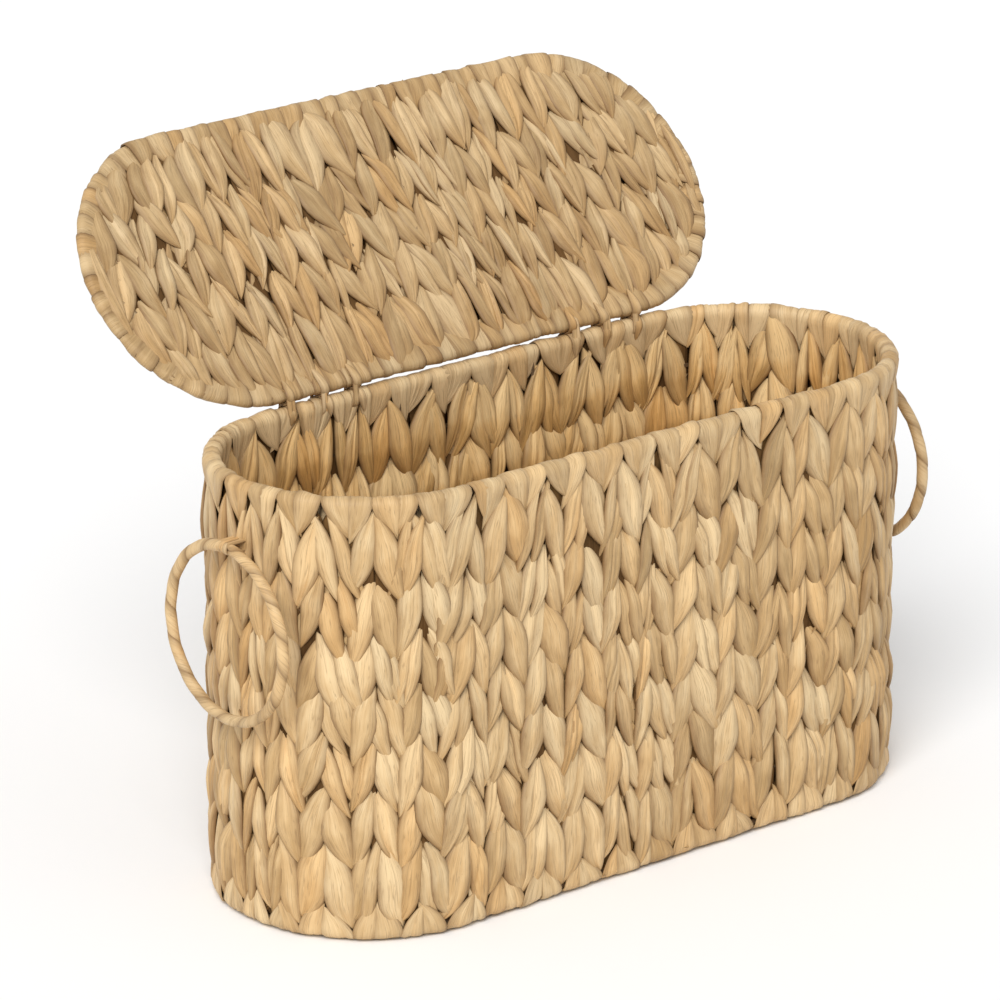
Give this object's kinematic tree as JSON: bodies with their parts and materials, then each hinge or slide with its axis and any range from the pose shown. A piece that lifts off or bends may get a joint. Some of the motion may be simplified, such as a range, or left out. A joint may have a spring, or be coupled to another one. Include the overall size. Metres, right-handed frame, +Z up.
{
  "type": "toilet paper basket",
  "caption": "Oval lidded storage basket of twined plant leaves on a wire frame, with a tied hinged lid and a ring handle at each end, for toilet paper rolls.",
  "frame": {"origin": "middle of the underside, on the floor", "axes": "+X along the basket's length to its right end, +Y to the rear where the lid is tied, +Z up"},
  "size_m": [0.4392, 0.2632, 0.3571],
  "materials": {
    "wall_leaf": "dry twined leaves, straw to tan",
    "inner_leaf": "dry twined leaves, warmer and darker",
    "lid_leaf": "dry twined leaves, straw to greyish tan",
    "edge_strip": "flat leaf strips folded over the edges",
    "handle_strip": "flat leaf strip wound round a ring",
    "tie_strip": "narrow twisted leaf strip",
    "frame_wire": "dark painted steel wire"
  },
  "bodies": {
    "basket": {"base_hoop": "frame_wire", "wall_hoop_1": "frame_wire", "wall_hoop_2": "frame_wire", "wall_hoop_3": "frame_wire", "wall_hoop_4": "frame_wire", "wall_hoop_5": "frame_wire", "wall_hoop_6": "frame_wire", "wall_hoop_7": "frame_wire", "rim_hoop": "frame_wire", "front_left_stay": "frame_wire", "front_right_stay": "frame_wire", "rear_left_stay": "frame_wire", "rear_right_stay": "frame_wire", "left_end_front_stay": "frame_wire", "left_end_rear_stay": "frame_wire", "right_end_front_stay": "frame_wire", "right_end_rear_stay": "frame_wire", "base_wire_1": "frame_wire", "base_wire_2": "frame_wire", "base_wire_3": "frame_wire", "base_wire_4": "frame_wire", "base_wire_5": "frame_wire", "wall_outer_weave": "wall_leaf", "wall_inner_weave": "inner_leaf", "rim_wrap": "edge_strip", "base_edge_wrap": "edge_strip", "base_upper_weave": "inner_leaf", "base_lower_weave": "wall_leaf", "hinge_tie_left_1": "tie_strip", "hinge_tie_left_2": "tie_strip", "hinge_tie_left_3": "tie_strip", "hinge_tie_right_1": "tie_strip", "hinge_tie_right_2": "tie_strip", "hinge_tie_right_3": "tie_strip", "handle_loop_left": "tie_strip", "handle_loop_right": "tie_strip"},
    "lid": {"lid_hoop": "frame_wire", "lid_wire_1": "frame_wire", "lid_wire_2": "frame_wire", "lid_wire_3": "frame_wire", "lid_wire_4": "frame_wire", "lid_wire_5": "frame_wire", "lid_upper_weave": "lid_leaf", "lid_lower_weave": "lid_leaf", "lid_edge_wrap": "edge_strip"},
    "handle_left": {"handle_core_left": "frame_wire", "handle_wrap_left": "handle_strip"},
    "handle_right": {"handle_core_right": "frame_wire", "handle_wrap_right": "handle_strip"}
  },
  "joints": [
    {"name": "lid_hinge", "type": "hinge", "parent": "basket", "child": "lid", "pos_m": [0, 0.0765, 0.2384], "axis": [1, 0, 0], "range_deg": [0, 131]},
    {"name": "handle_left_swing", "type": "hinge", "parent": "basket", "child": "handle_left", "pos_m": [-0.21595, 0, 0.201], "axis": [0, 1, 0], "range_deg": [0, 160]},
    {"name": "handle_right_swing", "type": "hinge", "parent": "basket", "child": "handle_right", "pos_m": [0.21595, 0, 0.201], "axis": [0, -1, 0], "range_deg": [0, 160]}
  ]
}
